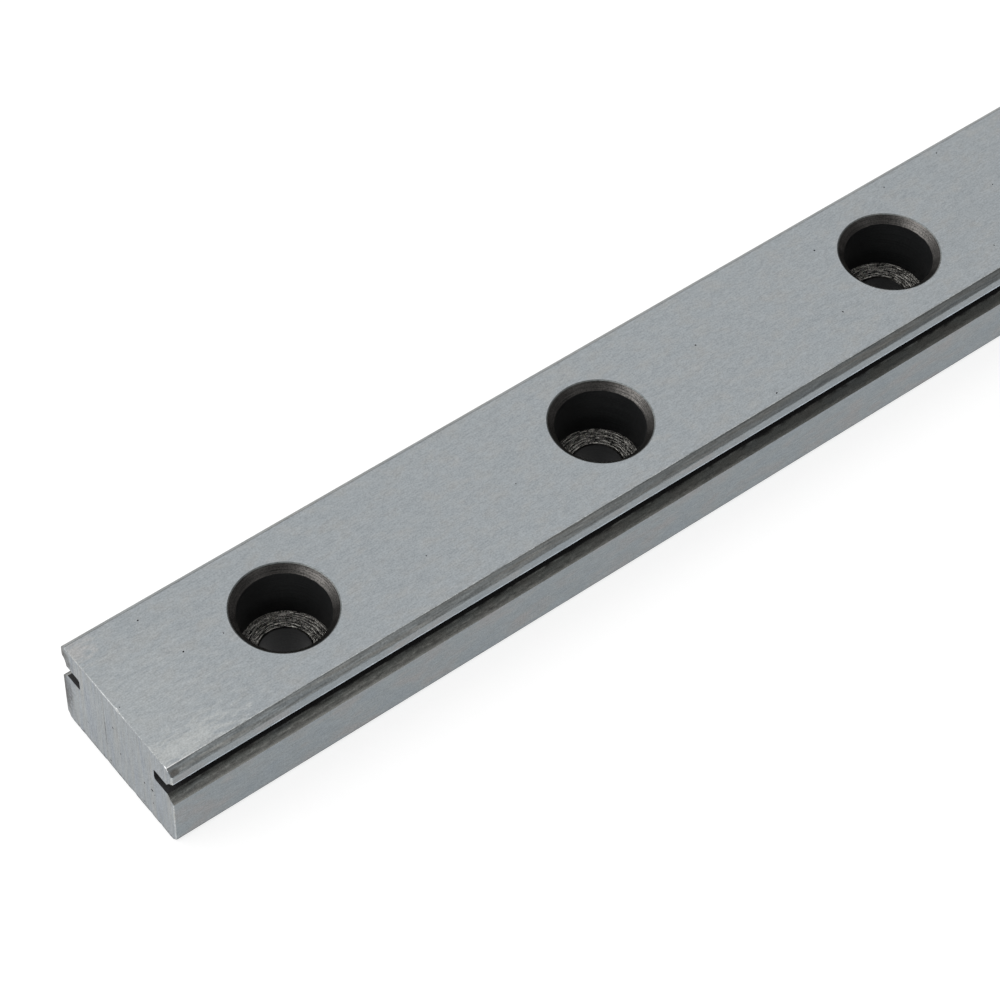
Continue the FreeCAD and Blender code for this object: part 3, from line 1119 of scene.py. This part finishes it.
class Rail:
    """The whole rail: bar, screw holes and finishes."""

    NEAR_END_PITS = (
        Pit(-0.20, 2.78, 0.13), Pit(-2.78, 2.74, 0.16), Pit(-3.65, 2.95, 0.22),
        Pit(0.43, 4.84, 0.14), Pit(-3.63, 1.54, 0.12), Pit(3.48, 1.92, 0.12),
        Pit(-3.9, 2.72, 0.1), Pit(-1.6, 1.1, 0.1), Pit(1.1, 0.55, 0.14), Pit(-2.6, 0.5, 0.12),
    )
    TOP_PITS = (
        Pit(-149.72, -0.19, 0.08), Pit(-145.25, 4.50), Pit(-144.35, 0.91),
        Pit(-141.60, 0.61, 0.1), Pit(-128.11, -2.03, 0.1), Pit(-120.08, -0.80, 0.1),
    )
    # Place along the rail up to which the top has only the pits above
    SCATTERED_FROM = -118.0
    # Least and most width of a scattered pit, and its least distance from a hole's axis and a seam
    PIT_WIDTHS = (0.08, 0.15)
    HOLE_CLEARANCE = 4.0
    SEAM_CLEARANCE = 0.3
    # Height of the middle of the far end's pits
    FAR_PITS_UP = 2.0

    def __init__(self) -> None:
        """Takes the rail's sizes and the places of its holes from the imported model."""
        low, high = (Vector(corner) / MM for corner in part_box(NODE))
        size = high - low
        self.bar = Bar(length=size.x, width=size.y, height=size.z)
        mounts = frame["record"]["mounts"]
        holes = [mount for mount in mounts if mount["name"].startswith("screw_hole")]
        seats = [mount for mount in mounts if mount["name"].startswith("head_seat")]
        self.hole = ScrewHole(hole=holes[0]["dims"]["r_mm"], seat=seats[0]["dims"]["r_mm"])
        self.places = [mount["pos_m"][0] / MM for mount in holes]
        self.cell_edges = [(here + there) / 2 for here, there in zip(self.places, self.places[1:])]

    def scattered_pits(self, count: int, length: float, width: float, seed: int) -> list[Pit]:
        """Draws pits at random places, clear of the screw holes.

        Args:
            count: Number of pits.
            length: Length of the field that they lie in.
            width: Width of the field.
            seed: Seed of the random places.

        Returns:
            The pits.
        """
        draw = random.Random(seed)
        pits = []
        while len(pits) < count:
            pit = Pit(draw.uniform(-0.5, 0.5) * length, draw.uniform(-0.5, 0.5) * width,
                      draw.uniform(*self.PIT_WIDTHS))
            off_holes = all(math.hypot(pit.across - place, pit.up) > self.HOLE_CLEARANCE
                            for place in self.places)
            off_seams = all(abs(pit.across - edge) > self.SEAM_CLEARANCE for edge in self.cell_edges)
            if off_holes and off_seams:
                pits.append(pit)
        return pits

    def flat_faces(self) -> list[FlatFace]:
        """Flat faces that have openings or pits.

        Returns:
            Top face, mounting face, near end and far end.
        """
        along, across, up = Vector((1, 0, 0)), Vector((0, 1, 0)), Vector((0, 0, 1))
        scattered = self.scattered_pits(count=50, length=self.bar.length - 4.0, width=10.0, seed=3)
        top_pits = [pit for pit in scattered if pit.across > self.SCATTERED_FROM]
        far_pits = [Pit(pit.across, pit.up + self.FAR_PITS_UP, pit.width)
                    for pit in self.scattered_pits(count=5, length=9.0, width=2.4, seed=8)]
        return [
            FlatFace(up * self.bar.height, along, across, Surface.TOP, [*self.TOP_PITS, *top_pits]),
            FlatFace(Vector(), along, across, Surface.TOP, []),
            FlatFace(-along * self.bar.length / 2, across, up, Surface.END,
                     list(self.NEAR_END_PITS)),
            FlatFace(along * self.bar.length / 2, across, up, Surface.END, far_pits),
        ]

    def mark_sharp(self, mesh: bmesh.types.BMesh) -> None:
        """Shades each surface smooth, with a crease where it meets another.

        Args:
            mesh: Finished mesh of the rail.
        """
        for face in mesh.faces:
            face.smooth = True
        for edge in mesh.edges:
            kinds = {face.material_index for face in edge.link_faces}
            edge.smooth = len(kinds) == 1 and edge.calc_face_angle(0.0) < CREASE

    def build(self) -> bpy.types.Object:
        """Models the rail and dresses it.

        Returns:
            The rail as one object.
        """
        mesh = bmesh.new()
        mesh.verts.layers.float_vector.new(TURNED)
        self.bar.build(mesh, self.cell_edges)
        self.hole.build(mesh, self.places, self.bar.height)
        for face in self.flat_faces():
            face.open_in(mesh)
        bmesh.ops.recalc_face_normals(mesh, faces=mesh.faces[:])
        if not all(edge.is_manifold for edge in mesh.edges):
            raise ValueError("The rail's mesh isn't closed.")
        self.mark_sharp(mesh)
        bmesh.ops.scale(mesh, vec=(MM, MM, MM), verts=mesh.verts[:])
        data = bpy.data.meshes.new("ground_rail")
        mesh.to_mesh(data)
        mesh.free()
        piece = bpy.data.objects.new("ground_rail", data)
        bpy.context.collection.objects.link(piece)
        shading = piece.modifiers.new("flat_face_shading", "WEIGHTED_NORMAL")
        shading.keep_sharp = True
        for surface in Surface:
            data.materials.append(FINISHES[surface].make(surface.value))
        return piece


@dataclass(frozen=True)
class Glow:
    """Soft light of the room, seen from the rail as a round patch of sky.

    Attributes:
        azimuth: Degrees from +X towards +Y.
        rise: Degrees above the floor.
        outer: Angle from its middle at which it ends, in degrees.
        inner: Angle from its middle up to which it has its whole strength.
        strength: What it adds to the light of the room.
    """

    azimuth: float
    rise: float
    outer: float
    inner: float
    strength: float

    @property
    def direction(self) -> Vector:
        """Unit vector towards the middle of the light."""
        turn, lift = math.radians(self.azimuth), math.radians(self.rise)
        return Vector((math.cos(lift) * math.cos(turn), math.cos(lift) * math.sin(turn),
                       math.sin(lift)))

    def added_to(self, tree: bpy.types.NodeTree, light: float | bpy.types.NodeSocket
                 ) -> bpy.types.NodeSocket:
        """Adds the light to what the room has.

        Args:
            tree: Node tree of the world.
            light: Strength without this light.

        Returns:
            Socket with the strength.
        """
        way = add_node(tree, "TexCoord").outputs["Generated"]
        nearness = add_node(tree, "VectorMath", {0: way, 1: self.direction},
                            operation="DOT_PRODUCT").outputs["Value"]
        glow = add_node(tree, "MapRange", {
            "Value": nearness, "From Min": math.cos(math.radians(self.outer)),
            "From Max": math.cos(math.radians(self.inner)), "To Max": self.strength},
            interpolation_type="SMOOTHSTEP").outputs["Result"]
        return add_node(tree, "Math", {0: glow, 1: light}, operation="ADD").outputs[0]


@dataclass
class Studio:
    """Floor, light and camera of the picture.

    The glows are the box overhead, the wide panel past the end, and a small panel on each side.
    """

    floor_size: float = 6000.0
    floor_gap: float = 0.02
    floor_glow: float = 0.75
    floor_albedo: str = "#b4b4b4"
    room: float = 0.25
    glows: tuple[Glow, ...] = (
        Glow(95.0, 60.0, 62.0, 44.0, 0.75), Glow(171.0, 28.0, 41.0, 0.0, 1.05),
        Glow(-78.0, 26.0, 17.0, 6.0, 0.5), Glow(45.0, 4.0, 24.0, 8.0, 0.6))
    camera_place: tuple[float, float, float] = (-205.353, -101.291, 171.247)
    camera_azimuth: float = 50.098
    camera_drop: float = 51.469
    camera_roll: float = 2.610
    lens: float = 119.516

    def add_floor(self) -> None:
        """Lays a white floor that keeps the rail's shadow."""
        mesh = bmesh.new()
        bmesh.ops.create_grid(mesh, x_segments=1, y_segments=1, size=self.floor_size / 2 * MM)
        bmesh.ops.translate(mesh, verts=mesh.verts[:], vec=(0.0, 0.0, -self.floor_gap * MM))
        data = bpy.data.meshes.new("floor")
        mesh.to_mesh(data)
        mesh.free()
        floor = bpy.data.objects.new("floor", data)
        bpy.context.collection.objects.link(floor)
        material = new_material("white_floor")
        tree = material.node_tree
        path = add_node(tree, "LightPath")
        seen = path.outputs["Is Camera Ray"]
        for ray in ("Is Glossy Ray", "Is Transmission Ray"):
            seen = add_node(tree, "Math", {0: seen, 1: path.outputs[ray]},
                            operation="MAXIMUM").outputs[0]
        glow = add_node(tree, "Math", {0: seen, 1: self.floor_glow}, operation="MULTIPLY")
        shine = add_node(tree, "Emission", {
            "Color": (1, 1, 1, 1), "Strength": glow.outputs[0]}).outputs[0]
        matt = add_node(tree, "BsdfDiffuse", {"Color": linear(self.floor_albedo)}).outputs[0]
        both = add_node(tree, "AddShader", {0: shine, 1: matt}).outputs[0]
        add_node(tree, "OutputMaterial", {"Surface": both})
        data.materials.append(material)

    def add_world(self) -> None:
        """Lights the room."""
        world = bpy.data.worlds.new("studio")
        bpy.context.scene.world = world
        world.use_nodes = True
        tree = world.node_tree
        tree.nodes.clear()
        light = self.room
        for glow in self.glows:
            light = glow.added_to(tree, light)
        camera = add_node(tree, "LightPath").outputs["Is Camera Ray"]
        strength = add_node(tree, "Mix", {0: camera, 2: light, 3: 1.0}, data_type="FLOAT")
        shine = add_node(tree, "Background", {
            "Color": (1, 1, 1, 1), "Strength": strength.outputs[0]})
        add_node(tree, "OutputWorld", {"Surface": shine.outputs[0]})

    def add_camera(self) -> None:
        """Stands the camera where the photograph was taken from."""
        data = bpy.data.cameras.new("camera")
        data.lens = self.lens
        data.clip_start = 1.0 * MM
        camera = bpy.data.objects.new("camera", data)
        bpy.context.collection.objects.link(camera)
        turn, drop = math.radians(self.camera_azimuth), math.radians(self.camera_drop)
        aim = Vector((math.cos(drop) * math.cos(turn), math.cos(drop) * math.sin(turn),
                      -math.sin(drop)))
        look = aim.to_track_quat("-Z", "Y").to_matrix().to_4x4()
        roll = Matrix.Rotation(math.radians(self.camera_roll), 4, "Z")
        place = Matrix.Translation(Vector(self.camera_place) * MM)
        camera.matrix_world = place @ look @ roll
        bpy.context.scene.camera = camera

    def build(self) -> None:
        """Sets up floor, light and camera."""
        self.add_floor()
        self.add_world()
        self.add_camera()
        bpy.context.scene.view_settings.view_transform = "Standard"


def main() -> None:
    """Builds the rail and the studio, and logs the rail's faces."""
    logging.basicConfig(level=logging.INFO, format="%(name)s: %(message)s")
    rail = Rail().build()
    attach(rail, BODY)
    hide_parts(NODE)
    log.info("rail: %d faces", len(rail.data.polygons))
    Studio().build()
    log.info("studio: floor, light and camera")


if __name__ == "__main__":
    main()
